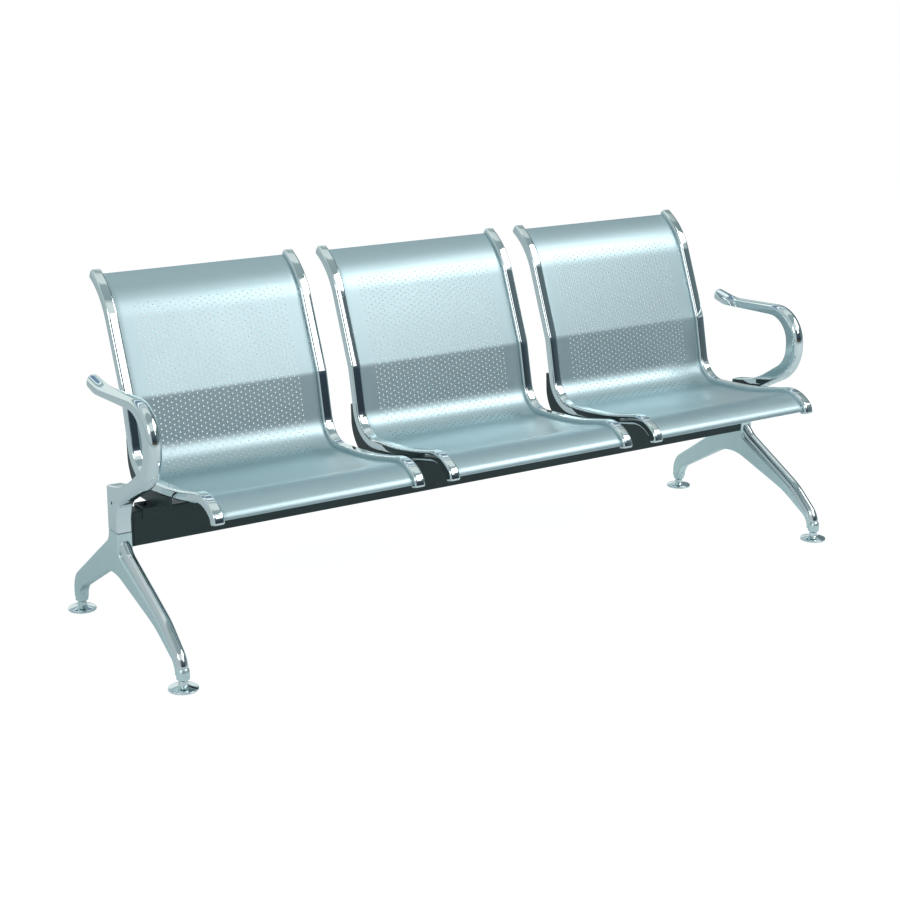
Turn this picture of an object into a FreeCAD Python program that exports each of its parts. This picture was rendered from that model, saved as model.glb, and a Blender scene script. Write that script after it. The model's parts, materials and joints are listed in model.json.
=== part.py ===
"""Three-place beam seating: bent steel seats on chromed rails, a black steel beam,
chromed cast legs with loop armrests, and four levelling feet.

Millimetres, +X along the beam, +Y towards the backs, +Z up. Side shapes are drawn in the
plane across the beam, as (y, z) from the beam's centre line and the floor, and every piece
is shifted by BEAM_Y when it is saved, so that the origin is under the middle of the whole.
"""
import FreeCAD
import Part
import math
import os

Vec = FreeCAD.Vector
X_AXIS, Z_AXIS = Vec(1, 0, 0), Vec(0, 0, 1)
TOUCHING = 1e-6               # closer points than this are one point

# Overall
BEAM_Y = 32.7                 # the beam's centre line, behind the middle of the footprint
FIT_GAP = 0.3                 # free play between pieces that move past each other
RUN_GAP = 0.05                # radial play of a stud in its bore

# Seats
SEAT_COUNT = 3
SEAT_PITCH = 578.0
SEAT_WIDTH = 512.0            # outside of the two rails
RAIL_WIDTH = 26.0
RAIL_RAISE = 8.0              # how far a rail stands above the seat line
RAIL_UNDER = 16.0             # its underside, below the same line
RAIL_ROUND = 6.0
RAIL_OVERRUN = 4.0            # how far a rail runs on past the sheet at both ends
SHEET_RECESS = 2.5
SHEET_THICK = 2.0
SHEET_FLANGE = 11.0           # depth of the folded side of the sheet
# Seat line: just above the sheet, from the nose up to the head, with each bend's radius
SEAT_LINE = [(-328.5, 361, 0), (-324.5, 375.5, 28), (-282, 406.5, 86), (-130, 373.5, 900),
             (62, 360, 75), (100, 523, 60), (194.6, 746.8, 180), (256.2, 782.3, 0)]
CREASE_INDEX = 5              # the fold across the back
CREASE_RADIUS = 8.0           # the sheet is folded more sharply than the rail is bent
HEM_RADIUS = 4.8
HEM_LENGTH = 14.0
SHEET_SCREW, SHEET_SCREW_HEAD = (1.5, 8.0), (3.0, 1.5)      # (radius, length)
SHEET_SCREW_DEPTH = 5.5       # below the face of the sheet

# Beam
BEAM_DEPTH = 40.0
BEAM_HEIGHT = 80.0
BEAM_BOTTOM = 227.0
BEAM_WALL = 2.5
BEAM_ROUND = 4.0
BEAM_TOP = BEAM_BOTTOM + BEAM_HEIGHT
END_PLATE = 6.0
END_PLATE_INSET = 1.0         # the plate stops this short of the beam's outside for its weld

# End frames: a cast leg with an armrest on top of it
LEG_X = 898.0
POST_WIDTH = 36.0
POST_FRONT, POST_REAR = -28.0, 22.0
SPLIT_Z = 265.0               # the joint between leg and armrest
SPLIT_GAP = 0.4
LEG_FOOT_Z = 24.5             # underside of the leg above the floor
LEG_TOE_WIDTH = 27.0
LEG_ROUND = 5.0
BOSS_R, BOSS_TOP = 14.5, 46.0  # round end of each leg above its foot
BEAD_RADIUS = 13.0            # the rounded rib along the front leg
ARM_WIDTH = 33.0
ARM_ROUND = 10.0

# Leg outline, clockwise from the front of its head: (y, z, radius); the front leg's slab is
# set back by 16, and the rib stands in front of it
LEG_OUTLINE = [(POST_FRONT, SPLIT_Z, 0), (POST_REAR, SPLIT_Z, 0), (POST_REAR, 243, 35),
               (251, 83, 60), (251, LEG_FOOT_Z, 0), (225, LEG_FOOT_Z, 0), (225, 58, 40),
               (24, 176, 130), (-190, 106, 250), (-286, 52, 46), (-286, LEG_FOOT_Z, 0),
               (-298, LEG_FOOT_Z, 0), (-298, 58, 54), (-219, 122.5, 184), (-43, 207, 6),
               (-50, 221.5, 6), (POST_FRONT, 232, 28)]
# Centre line of the rounded rib on the front leg
BEAD_LINE = [(-60, 207, 0), (-224, 123, 190), (-300, 60, 57), (-300, LEG_FOOT_Z, 0)]
# Heights and half widths that lead the smooth taper of each casting: a leg narrows towards
# its toes, an armrest above its post
LEG_TAPER = [(0.0, LEG_TOE_WIDTH / 2), (60.0, LEG_TOE_WIDTH / 2), (110.0, 13.5), (160.0, 16.0),
             (205.0, POST_WIDTH / 2), (300.0, POST_WIDTH / 2)]
ARM_TAPER = [(250.0, POST_WIDTH / 2), (355.0, POST_WIDTH / 2), (390.0, ARM_WIDTH / 2),
             (620.0, ARM_WIDTH / 2)]
TAPER_REACH = 400.0           # past every outline, front and back

# Armrest outline, from the tip along the top, round the front and down to the split, and
# back up the inside of the loop
ARM_OUTLINE = [(118, 592, 11), (45, 578, 150), (-212, 596, 92), (-212, 425, 107),
               (POST_FRONT, 331, 60), (POST_FRONT, SPLIT_Z + SPLIT_GAP, 0),
               (POST_REAR, SPLIT_Z + SPLIT_GAP, 0), (POST_REAR, 364, 0), (-60, 379, 250),
               (-171, 452, 60), (-171, 565, 65), (75, 555, 80), (118, 566, 11)]
ARM_OUTLINE_TOP = 600.0

# Spigot, screws and bolts of the end frames
SPIGOT_WIDTH, SPIGOT_DEPTH, SPIGOT_ROUND = 18.0, 28.0, 3.0
SPIGOT_BOTTOM, SPIGOT_TOP = 236.0, 340.0
LOCK_SCREW_R, LOCK_SCREW_Y, LOCK_SCREW_Z = 3.5, -4.0, 330.0
LOCK_SCREW_SUNK = 0.6
END_BOLT, END_BOLT_HEAD = (4.0, 20.0), (6.5, 8.0)
END_BOLT_Z = (246.0, 288.0)

# Seat brackets
BRACKET_X = SEAT_WIDTH / 2 - RAIL_WIDTH / 2
BRACKET_WEB = 6.0
BRACKET_FLANGE = 4.0
BRACKET_FLANGE_WIDTH = 20.0
BRACKET_FRONT = -100.0
BRACKET_TOP = 430.0
SADDLE_THICK = 6.0
SADDLE_TOP = BEAM_TOP + SADDLE_THICK
SADDLE_LENGTH = 64.0
SADDLE_LIP, SADDLE_LIP_THICK = 22.0, 3.0
# The web's outline behind and under the rail, from its top round to its front end
BRACKET_EDGE = [(117, BRACKET_TOP, 0), (112, 350, 90), (60, SADDLE_TOP, 40),
                (-26, SADDLE_TOP, 0), (-40, 325, 12), (BRACKET_FRONT, 331, 0)]
SADDLE_BOLT_R, SADDLE_BOLT_LENGTH = 4.0, 22.0
SADDLE_BOLT_HEAD_R, SADDLE_BOLT_HEAD = 6.5, 5.5
SADDLE_BOLT_SPREAD = 20.0     # each bolt's distance from the bracket's web, along the beam
RAIL_SCREW, RAIL_SCREW_HEAD = (2.0, 12.0), (3.4, 3.0)
RAIL_SCREW_SIDE = 6.5         # beside the web
RAIL_SCREW_SHARES = (0.45, 0.39)    # how far along the pan and up the back they sit

# Levelling feet
FOOT_Y = (-300.0, 238.0)
DISC_R = 32.5
DISC_EDGE = 1.5
DISC_RIM = 6.0                # top of the rim
DOME_R, DOME_TOP = 16.5, 9.5  # where the shallow dome meets the skirt of the collar
COLLAR_FOOT = 11.5
HUB_R, HUB_TOP, HUB_EDGE = 10.0, 21.5, 1.0
STUD_R = 5.0
STUD_TOP = 52.0
STUD_FLANGE_R, STUD_FLANGE_THICK = 8.0, 2.0
BORE_TOP = 58.0
PAD_R = 28.5
PAD_THICK = 3.0
RIM_CLEARANCE = 1.0           # the pad stands this far below the disc's rim
STUD_FLANGE_Z = PAD_THICK + FIT_GAP

os.makedirs("parts", exist_ok=True)


def bend(before, corner, after, radius):
    """Start, middle and end of the arc that rounds one corner."""
    to_start = (before - corner).normalize()
    to_end = (after - corner).normalize()
    half = to_start.getAngle(to_end) / 2
    run = radius / math.tan(half)
    inward = (to_start + to_end).normalize()
    middle = corner + inward * (radius / math.sin(half) - radius)
    return corner + to_start * run, middle, corner + to_end * run


def rounded_edges(corners, closed):
    """Lines and tangent arcs through (y, z, radius) corners, in the plane x = 0."""
    points = [Vec(0, y, z) for y, z, radius in corners]
    count = len(points)
    edges, ends = [], []
    for i, (y, z, radius) in enumerate(corners):
        inner = closed or 0 < i < count - 1
        if radius and inner:
            arc = bend(points[i - 1], points[i], points[(i + 1) % count], radius)
            ends.append((arc[0], arc[2], Part.Arc(*arc).toShape()))
        else:
            ends.append((points[i], points[i], None))
    for i in range(count):
        if ends[i][2]:
            edges.append(ends[i][2])
        if closed or i < count - 1:
            start, stop = ends[i][1], ends[(i + 1) % count][0]
            if (stop - start).Length > TOUCHING:
                edges.append(Part.makeLine(start, stop))
    return edges


def offset_line(corners, depth):
    """The open line moved by depth to its right, with its radii kept concentric."""
    points = [Vec(0, y, z) for y, z, radius in corners]
    runs = [(b - a).normalize() for a, b in zip(points, points[1:])]
    sides = [Vec(0, run.z, -run.y) for run in runs]
    moved = []
    for i, (y, z, radius) in enumerate(corners):
        first, last = sides[max(i - 1, 0)], sides[min(i, len(sides) - 1)]
        across = (first + last).normalize()
        point = points[i] + across * (depth / across.dot(first))
        if radius:
            turn = runs[i - 1].cross(runs[i]).x
            radius += math.copysign(depth, turn)
        moved.append((point.y, point.z, radius))
    return moved


def side_face(corners):
    """A flat face across the beam from a closed outline."""
    return Part.Face(Part.Wire(Part.__sortEdges__(rounded_edges(corners, True))))


def strip_face(line, near, far):
    """A flat face between two depths below an open line."""
    top, under = offset_line(line, near), offset_line(line, far)
    edges = rounded_edges(top, False) + rounded_edges(under, False)
    for end in (0, -1):
        edges.append(Part.makeLine(Vec(0, *top[end][:2]), Vec(0, *under[end][:2])))
    return Part.Face(Part.Wire(Part.__sortEdges__(edges)))


def slab(face, left, right):
    """A side face pushed out along the beam from x = left to x = right."""
    moved = face.copy()
    moved.translate(Vec(left, 0, 0))
    return moved.extrude(Vec(right - left, 0, 0))


def extended(line, run):
    """An open line with both ends moved on by run."""
    first, second = Vec(*line[0][:2], 0), Vec(*line[1][:2], 0)
    last, before = Vec(*line[-1][:2], 0), Vec(*line[-2][:2], 0)
    head = first + (first - second).normalize() * run
    tail = last + (last - before).normalize() * run
    return [(head.x, head.y, 0)] + line[1:-1] + [(tail.x, tail.y, 0)]


def rounded(shape, radius, chosen):
    """Round the edges of a shape that chosen() picks."""
    return shape.makeFillet(radius, [edge for edge in shape.Edges if chosen(edge)])


def along_x(edge):
    """True for a straight edge along the beam."""
    return max(edge.BoundBox.YLength, edge.BoundBox.ZLength) < TOUCHING


def across_x(edge):
    """True for an edge that lies in one plane across the beam."""
    return edge.BoundBox.XLength < TOUCHING


def block(width, depth, height, centre, bottom, radius=0.0):
    """An upright box, centred in plan, with its upright edges rounded."""
    box = Part.makeBox(width, depth, height,
                       Vec(centre.x - width / 2, centre.y - depth / 2, bottom))
    if radius:
        box = rounded(box, radius, lambda edge: edge.BoundBox.ZLength > height / 2)
    return box


def rod(radius, start, stop):
    """A round bar from one point to another."""
    run = stop - start
    return Part.makeCylinder(radius, run.Length, start, run)


def hexagon(radius, height, base):
    """A hexagonal head with its corners at radius, standing on base."""
    turns = [k * math.pi / 3 for k in range(7)]
    corners = [base + Vec(radius * math.cos(turn), radius * math.sin(turn), 0) for turn in turns]
    return Part.Face(Part.makePolygon(corners)).extrude(Vec(0, 0, height))


def screw(seat, out, shank, head):
    """A round-headed screw; shank and head are (radius, length) pairs, either side of seat."""
    (shank_radius, shank_run), (head_radius, head_run) = shank, head
    shaft = rod(shank_radius, seat - out * shank_run, seat)
    return one_solid(shaft.fuse(rod(head_radius, seat, seat + out * head_run)))


def one_solid(shape):
    """The single solid in a shape."""
    solids = shape.Solids
    if len(solids) != 1:
        raise ValueError(f"{len(solids)} solids where there should be one")
    return solids[0]


def drilled(shape, fasteners):
    """The single solid that is left when holes are cut for fasteners."""
    for fastener in fasteners:
        shape = shape.cut(fastener)
    return one_solid(shape)


def save(name, *solids):
    """Move the solids into the row's frame and write them as one sub-part."""
    shape = solids[0] if len(solids) == 1 else Part.makeCompound(list(solids))
    shape = shape.copy()
    shape.translate(Vec(0, BEAM_Y, 0))
    if not shape.isValid():
        print("not valid:", name)
    shape.exportStep(f"parts/{name}.step")


def make_rail(x, inward):
    """A rounded bar that carries one side of a seat sheet; x is its outside face."""
    left, right = sorted((x, x + inward * RAIL_WIDTH))
    face = strip_face(extended(SEAT_LINE, RAIL_OVERRUN), -RAIL_RAISE, RAIL_UNDER)
    bar = slab(face, left, right)
    return rounded(bar, RAIL_ROUND, lambda edge: across_x(edge) or along_x(edge))


def sheet_line():
    """The line of the sheet, folded at the crease and hemmed at nose and head."""
    line = list(SEAT_LINE)
    line[CREASE_INDEX] = (*line[CREASE_INDEX][:2], CREASE_RADIUS)
    line[0] = (*line[0][:2], HEM_RADIUS)
    line[-1] = (*line[-1][:2], HEM_RADIUS)
    hems = []
    for end, beside in ((line[0], line[1]), (line[-1], line[-2])):
        run = Vec(0, end[0] - beside[0], end[1] - beside[1]).normalize()
        turned = Vec(0, -run.z, run.y) if end is line[0] else Vec(0, run.z, -run.y)
        hems.append((end[0] + HEM_LENGTH * turned.y, end[1] + HEM_LENGTH * turned.z, 0))
    return [hems[0]] + line + [hems[1]]


def make_sheet(x):
    """The one-piece seat and back sheet, with folded sides that stand inside the rails."""
    half = SEAT_WIDTH / 2 - RAIL_WIDTH
    skin = strip_face(sheet_line(), SHEET_RECESS, SHEET_RECESS + SHEET_THICK)
    sheet = slab(skin, x - half, x + half)
    fold = strip_face(SEAT_LINE, SHEET_RECESS, SHEET_RECESS + SHEET_FLANGE)
    for left in (x - half, x + half - SHEET_THICK):
        sheet = sheet.fuse(slab(fold, left, left + SHEET_THICK))
    return drilled(sheet, sheet_screws(x, -1) + sheet_screws(x, 1))


def make_bracket(x):
    """A black T-section bracket: a web on the beam and a flange under the rail."""
    pan, corner, crease = SEAT_LINE[3:6]
    slope = (corner[1] - pan[1]) / (corner[0] - pan[0])
    lean = (crease[0] - corner[0]) / (crease[1] - corner[1])
    line = [(BRACKET_FRONT, pan[1] + slope * (BRACKET_FRONT - pan[0]), 0), corner,
            (corner[0] + lean * (BRACKET_TOP - corner[1]), BRACKET_TOP, 0)]
    flange = slab(strip_face(line, RAIL_UNDER, RAIL_UNDER + BRACKET_FLANGE),
                  x - BRACKET_FLANGE_WIDTH / 2, x + BRACKET_FLANGE_WIDTH / 2)
    outline = offset_line(line, RAIL_UNDER + BRACKET_FLANGE / 2) + BRACKET_EDGE
    web = slab(side_face(outline), x - BRACKET_WEB / 2, x + BRACKET_WEB / 2)
    return drilled(flange.fuse(web), rail_screws(x))


def make_saddle(x):
    """The folded plate that sits over the beam and is bolted to it."""
    width = BEAM_DEPTH + 2 * SADDLE_LIP_THICK
    low, centre = BEAM_TOP - SADDLE_LIP, Vec(x, 0, 0)
    plate = block(SADDLE_LENGTH, width, SADDLE_TOP - low, centre, low)
    plate = plate.cut(block(SADDLE_LENGTH, BEAM_DEPTH, SADDLE_LIP, centre, low))
    return drilled(plate, saddle_bolts(x))


def saddle_bolts(x):
    """Two hexagon bolts down through the saddle and the beam's top wall."""
    bolts = []
    for side in (-1, 1):
        base = Vec(x + side * SADDLE_BOLT_SPREAD, 0, SADDLE_TOP)
        shank = rod(SADDLE_BOLT_R, base - Z_AXIS * SADDLE_BOLT_LENGTH, base)
        head = hexagon(SADDLE_BOLT_HEAD_R, SADDLE_BOLT_HEAD, base)
        bolts.append(one_solid(shank.fuse(head)))
    return bolts


def on_line(x, start, stop, share):
    """A point part of the way along one straight of the seat line, and the way out below it."""
    run = Vec(0, stop[0] - start[0], stop[1] - start[1])
    return Vec(x, start[0], start[1]) + run * share, Vec(0, run.z, -run.y).normalize()


def rail_screws(x):
    """Screws up through both sides of a bracket's flange into its rail."""
    screws = []
    for straight, share in enumerate(RAIL_SCREW_SHARES, start=3):
        place, out = on_line(x, *SEAT_LINE[straight:straight + 2], share)
        for side in (-1, 1):
            seat = place + X_AXIS * side * RAIL_SCREW_SIDE + out * (RAIL_UNDER + BRACKET_FLANGE)
            screws.append(screw(seat, out, RAIL_SCREW, RAIL_SCREW_HEAD))
    return screws


def sheet_screws(x, side):
    """Three short screws through one folded side of the sheet into its rail."""
    screws = []
    for straight in range(3, 6):
        place, out = on_line(x, *SEAT_LINE[straight:straight + 2], 0.5)
        inside = side * (SEAT_WIDTH / 2 - RAIL_WIDTH - SHEET_THICK)
        seat = place + X_AXIS * inside + out * (SHEET_RECESS + SHEET_SCREW_DEPTH)
        screws.append(screw(seat, X_AXIS * -side, SHEET_SCREW, SHEET_SCREW_HEAD))
    return screws


def make_beam():
    """A rounded rectangular tube along X, drilled for the saddle bolts."""
    length = 2 * (LEG_X - POST_WIDTH / 2 - END_PLATE)
    outer = Part.makeBox(length, BEAM_DEPTH, BEAM_HEIGHT,
                         Vec(-length / 2, -BEAM_DEPTH / 2, BEAM_BOTTOM))
    inner = Part.makeBox(length, BEAM_DEPTH - 2 * BEAM_WALL, BEAM_HEIGHT - 2 * BEAM_WALL,
                         Vec(-length / 2, -BEAM_DEPTH / 2 + BEAM_WALL, BEAM_BOTTOM + BEAM_WALL))
    tube = rounded(outer, BEAM_ROUND, along_x).cut(rounded(inner, BEAM_ROUND - BEAM_WALL, along_x))
    for x in seat_centres():
        for side in (-1, 1):
            tube = drilled(tube, saddle_bolts(x + side * BRACKET_X))
    return tube


def end_bolts(side):
    """Bolts from inside the beam through its end plate into leg and armrest post."""
    head_face = side * (LEG_X - POST_WIDTH / 2 - END_PLATE)
    return [screw(Vec(head_face, 0, z), X_AXIS * -side, END_BOLT, END_BOLT_HEAD)
            for z in END_BOLT_Z]


def make_end_plate(side):
    """The plate welded into the end of the beam, flush against leg and armrest."""
    centre = Vec(side * (LEG_X - POST_WIDTH / 2 - END_PLATE / 2), 0, 0)
    plate = block(END_PLATE, BEAM_DEPTH - 2 * END_PLATE_INSET, BEAM_HEIGHT - 2 * END_PLATE_INSET,
                  centre, BEAM_BOTTOM + END_PLATE_INSET)
    return drilled(plate, end_bolts(side))


def make_spigot(side):
    """The steel bar inside that pins the armrest post onto the leg."""
    centre = Vec(side * LEG_X, (POST_FRONT + POST_REAR) / 2, 0)
    bar = block(SPIGOT_WIDTH, SPIGOT_DEPTH, SPIGOT_TOP - SPIGOT_BOTTOM, centre, SPIGOT_BOTTOM,
                SPIGOT_ROUND)
    return drilled(bar, end_bolts(side))


def taper(stations):
    """A solid across the beam whose half width changes smoothly with height, in no bulge."""
    edges = []
    for side in (-1, 1):
        curve = Part.BSplineCurve()
        curve.buildFromPoles([Vec(side * half, -TAPER_REACH, z) for z, half in stations])
        edges.append(curve.toShape())
    for z, half in (stations[0], stations[-1]):
        edges.append(Part.makeLine(Vec(-half, -TAPER_REACH, z), Vec(half, -TAPER_REACH, z)))
    face = Part.Face(Part.Wire(Part.__sortEdges__(edges)))
    return face.extrude(Vec(0, 2 * TAPER_REACH, 0))


def cast_shape(outline, stations, radius, bottom, top):
    """A tapered casting from its side outline, with its long edges rounded."""
    body = slab(side_face(outline), -POST_WIDTH, POST_WIDTH).common(taper(stations))
    centre = POST_WIDTH / 4

    def long_edge(edge):
        box = edge.BoundBox
        return abs(edge.CenterOfMass.x) > centre and box.ZMax > bottom + 1 and box.ZMin < top - 1

    return rounded(body, radius, long_edge)


def make_leg(side):
    """A cast leg: head, long front leg with a rounded rib, short rear leg, foot bores."""
    body = cast_shape(LEG_OUTLINE, LEG_TAPER, LEG_ROUND, LEG_FOOT_Z, SPLIT_Z)
    path = Part.Wire(Part.__sortEdges__(rounded_edges(BEAD_LINE, False)))
    start, after = (Vec(0, y, z) for y, z, radius in BEAD_LINE[:2])
    circle = Part.Wire(Part.makeCircle(BEAD_RADIUS, start, after - start))
    rib = path.makePipeShell([circle], True, False).fuse(Part.makeSphere(BEAD_RADIUS, start))
    body = body.fuse(rib)
    for y in FOOT_Y:
        body = body.fuse(rod(BOSS_R, Vec(0, y, LEG_FOOT_Z), Vec(0, y, BOSS_TOP)))
        body = body.cut(Part.makeCylinder(STUD_R + RUN_GAP, BORE_TOP, Vec(0, y, 0)))
    body.translate(X_AXIS * side * LEG_X)
    return drilled(body, [make_spigot(side)] + end_bolts(side))


def make_arm(side):
    """The armrest: a C-shaped loop that grows out of a post on the leg's head."""
    arm = cast_shape(ARM_OUTLINE, ARM_TAPER, ARM_ROUND, SPLIT_Z + SPLIT_GAP, ARM_OUTLINE_TOP)
    arm.translate(X_AXIS * side * LEG_X)
    return drilled(arm, [make_spigot(side), make_lock_screw(side)] + end_bolts(side))


def make_lock_screw(side):
    """The grub screw in the outer side of the post."""
    outer = side * (LEG_X + POST_WIDTH / 2 - LOCK_SCREW_SUNK)
    inner = side * (LEG_X + SPIGOT_WIDTH / 2)
    return rod(LOCK_SCREW_R, Vec(inner, LOCK_SCREW_Y, LOCK_SCREW_Z),
               Vec(outer, LOCK_SCREW_Y, LOCK_SCREW_Z))


def make_stud(x, y):
    """The threaded stud of a levelling foot, with the flange that carries the disc."""
    base = Vec(x, y, STUD_FLANGE_Z)
    shaft = Part.makeCylinder(STUD_R, STUD_TOP - STUD_FLANGE_Z, base)
    return one_solid(shaft.fuse(Part.makeCylinder(STUD_FLANGE_R, STUD_FLANGE_THICK, base)))


def make_disc(x, y):
    """The chromed cup of a levelling foot: rim, shallow dome and collar round the stud."""
    inner = DISC_R - DISC_EDGE
    outline = [(0, RIM_CLEARANCE), (inner, RIM_CLEARANCE), (DISC_R, RIM_CLEARANCE + DISC_EDGE),
               (DISC_R, DISC_RIM - DISC_EDGE / 2), (inner, DISC_RIM), (DOME_R, DOME_TOP),
               (HUB_R, COLLAR_FOOT), (HUB_R, HUB_TOP - HUB_EDGE), (HUB_R - HUB_EDGE, HUB_TOP),
               (0, HUB_TOP), (0, RIM_CLEARANCE)]
    profile = Part.Face(Part.makePolygon([Vec(radius, 0, z) for radius, z in outline]))
    cup = profile.revolve(Vec(), Z_AXIS, 360)
    flange_room = STUD_FLANGE_Z + STUD_FLANGE_THICK + FIT_GAP
    for radius, height in ((STUD_R + RUN_GAP, HUB_TOP), (STUD_FLANGE_R + FIT_GAP, flange_room),
                           (PAD_R, PAD_THICK)):
        cup = cup.cut(Part.makeCylinder(radius, height))
    cup.translate(Vec(x, y, 0))
    return one_solid(cup)


def make_pad(x, y):
    """The plastic glide pressed into the underside of a disc."""
    return Part.makeCylinder(PAD_R, PAD_THICK, Vec(x, y, 0))


def seat_centres():
    """The x of each seat's middle, left to right."""
    first = -SEAT_PITCH * (SEAT_COUNT - 1) / 2
    return [first + SEAT_PITCH * place for place in range(SEAT_COUNT)]


def build_seats():
    """Sheets, rails, brackets, saddles and their fasteners, seat by seat."""
    for seat, x in zip(("left_seat", "middle_seat", "right_seat"), seat_centres()):
        save(f"{seat}_sheet", make_sheet(x))
        bolts, long_screws, short_screws = [], [], []
        for hand, side in (("left", -1), ("right", 1)):
            bracket_x = x + side * BRACKET_X
            into_rail, into_side = rail_screws(bracket_x), sheet_screws(x, side)
            rail = make_rail(x + side * SEAT_WIDTH / 2, -side)
            save(f"{seat}_rail_{hand}", drilled(rail, into_rail + into_side))
            save(f"{seat}_bracket_{hand}", make_bracket(bracket_x))
            save(f"{seat}_saddle_{hand}", make_saddle(bracket_x))
            bolts += saddle_bolts(bracket_x)
            long_screws += into_rail
            short_screws += into_side
        save(f"{seat}_saddle_bolts", *bolts)
        save(f"{seat}_rail_screws", *long_screws)
        save(f"{seat}_sheet_screws", *short_screws)


def build_beam():
    """The beam and the plates that close its ends."""
    save("beam", make_beam())
    for hand, side in (("left", -1), ("right", 1)):
        save(f"beam_end_plate_{hand}", make_end_plate(side))


def build_end_frames():
    """Legs, armrests and what joins them."""
    for hand, side in (("left", -1), ("right", 1)):
        save(f"leg_{hand}", make_leg(side))
        save(f"armrest_{hand}", make_arm(side))
        save(f"armrest_spigot_{hand}", make_spigot(side))
        save(f"armrest_lock_screw_{hand}", make_lock_screw(side))
        save(f"end_bolts_{hand}", *end_bolts(side))


def build_feet():
    """Four levelling feet."""
    for hand, side in (("left", -1), ("right", 1)):
        for end, y in zip(("front", "rear"), FOOT_Y):
            save(f"foot_stud_{end}_{hand}", make_stud(side * LEG_X, y))
            save(f"foot_disc_{end}_{hand}", make_disc(side * LEG_X, y))
            save(f"foot_pad_{end}_{hand}", make_pad(side * LEG_X, y))


build_seats()
build_beam()
build_end_frames()
build_feet()
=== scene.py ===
"""Looks of a three-place beam seating: perforated sheets, chromed rails and armrests, cast legs.

Everything is in metres in the row's frame: +X along the beam, +Y towards the backs, +Z up, with
the floor at zero. Side shapes are drawn as (y, z) from the beam's centre line, which lies BEAM_Y
behind the middle of the footprint.
"""
from __future__ import annotations

import json
import logging
import math
from collections import Counter
from dataclasses import dataclass
from enum import Enum
from typing import Sequence

import bmesh
import bpy
from mathutils import Matrix, Vector


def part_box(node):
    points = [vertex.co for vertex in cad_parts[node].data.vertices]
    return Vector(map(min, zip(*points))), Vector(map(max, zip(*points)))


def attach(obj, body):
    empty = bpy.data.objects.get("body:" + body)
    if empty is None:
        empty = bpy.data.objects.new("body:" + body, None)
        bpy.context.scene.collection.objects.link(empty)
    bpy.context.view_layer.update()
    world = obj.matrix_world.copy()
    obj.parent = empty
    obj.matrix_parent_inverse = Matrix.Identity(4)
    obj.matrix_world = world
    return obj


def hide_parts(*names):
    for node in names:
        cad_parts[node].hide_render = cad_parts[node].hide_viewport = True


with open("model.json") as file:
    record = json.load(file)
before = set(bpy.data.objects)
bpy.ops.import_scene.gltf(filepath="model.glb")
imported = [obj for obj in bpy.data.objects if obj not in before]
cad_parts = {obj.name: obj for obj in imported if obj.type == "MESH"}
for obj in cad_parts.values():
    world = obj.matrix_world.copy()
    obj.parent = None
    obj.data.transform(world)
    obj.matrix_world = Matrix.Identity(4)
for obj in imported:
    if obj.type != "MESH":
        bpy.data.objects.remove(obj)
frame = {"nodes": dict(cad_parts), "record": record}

LOG = logging.getLogger("seating")
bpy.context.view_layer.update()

MM = 0.001
BEAM_Y = 32.7 * MM
SEATS = ("left_seat", "middle_seat", "right_seat")
X_AXIS = Vector((1, 0, 0))
Z_AXIS = Vector((0, 0, 1))
Piece = bpy.types.Object
Colour = tuple[float, float, float, float]
Stop = tuple[float, Sequence[float]]


class Hand(Enum):
    """The two ends of the seating and the two sides of a seat."""

    LEFT = -1
    RIGHT = 1

    @property
    def label(self) -> str:
        """The word that node names use."""
        return self.name.lower()


class End(Enum):
    """Front and rear foot of a leg, with their places across the beam."""

    FRONT = -300.0 * MM
    REAR = 238.0 * MM

    @property
    def label(self) -> str:
        """The word that node names use."""
        return self.name.lower()


# Shader expressions


@dataclass(frozen=True)
class Signal:
    """What one shader socket carries, with arithmetic written as Python expressions."""

    graph: "Graph"
    socket: bpy.types.NodeSocket

    def __add__(self, other: "Signal | float") -> "Signal":
        """Sum."""
        return self.graph.maths("ADD", self, other)

    def __sub__(self, other: "Signal | float") -> "Signal":
        """Difference."""
        return self.graph.maths("SUBTRACT", self, other)

    def __rsub__(self, other: float) -> "Signal":
        """Difference from a number."""
        return self.graph.maths("SUBTRACT", other, self)

    def __mul__(self, other: "Signal | float") -> "Signal":
        """Product."""
        return self.graph.maths("MULTIPLY", self, other)

    def __truediv__(self, other: "Signal | float") -> "Signal":
        """Quotient."""
        return self.graph.maths("DIVIDE", self, other)

    def __rtruediv__(self, other: float) -> "Signal":
        """A number divided by this."""
        return self.graph.maths("DIVIDE", other, self)

    def __gt__(self, other: "Signal | float") -> "Signal":
        """1 where this is more than other, and 0 elsewhere."""
        return self.graph.maths("GREATER_THAN", self, other)

    __radd__ = __add__
    __rmul__ = __mul__

    def clamped(self) -> "Signal":
        """The value held between 0 and 1."""
        return self.graph.maths("ADD", self, 0.0, clamp=True)


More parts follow.
